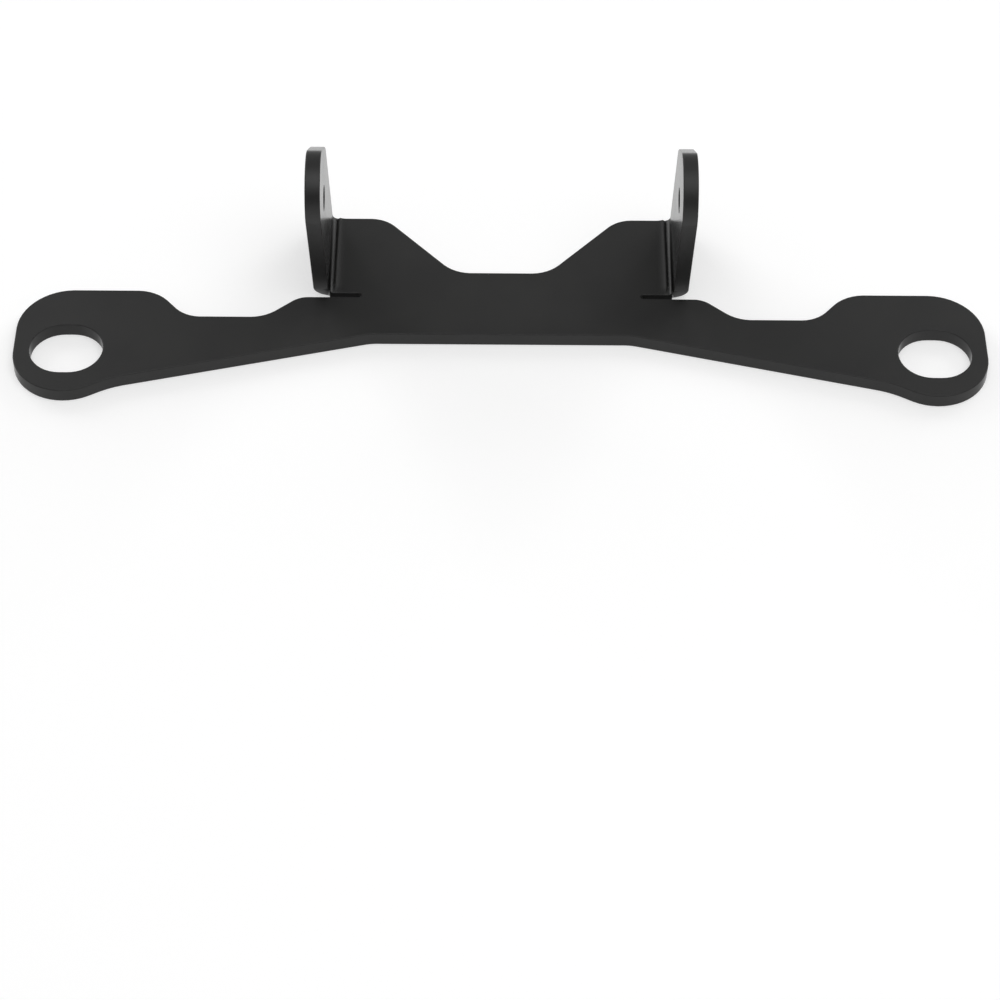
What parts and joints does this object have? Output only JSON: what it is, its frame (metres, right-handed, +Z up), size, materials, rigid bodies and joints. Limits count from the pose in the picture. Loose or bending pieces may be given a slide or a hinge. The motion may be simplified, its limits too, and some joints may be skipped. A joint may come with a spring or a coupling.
{
  "type": "headlight mounting bracket",
  "caption": "Folded sheet bracket with slotted end lobes for fork bolts and upright ears for small lamps.",
  "frame": {"origin": "on the underside, midway between the two fork slots", "axes": "+X along the bracket's length, +Y from the front edge to the shoulders, +Z up along the ears"},
  "size_m": [0.194, 0.0495, 0.0424],
  "materials": {
    "powder_coat": "satin"
  },
  "bodies": {
    "root": {"bracket": "powder_coat"}
  },
  "joints": []
}
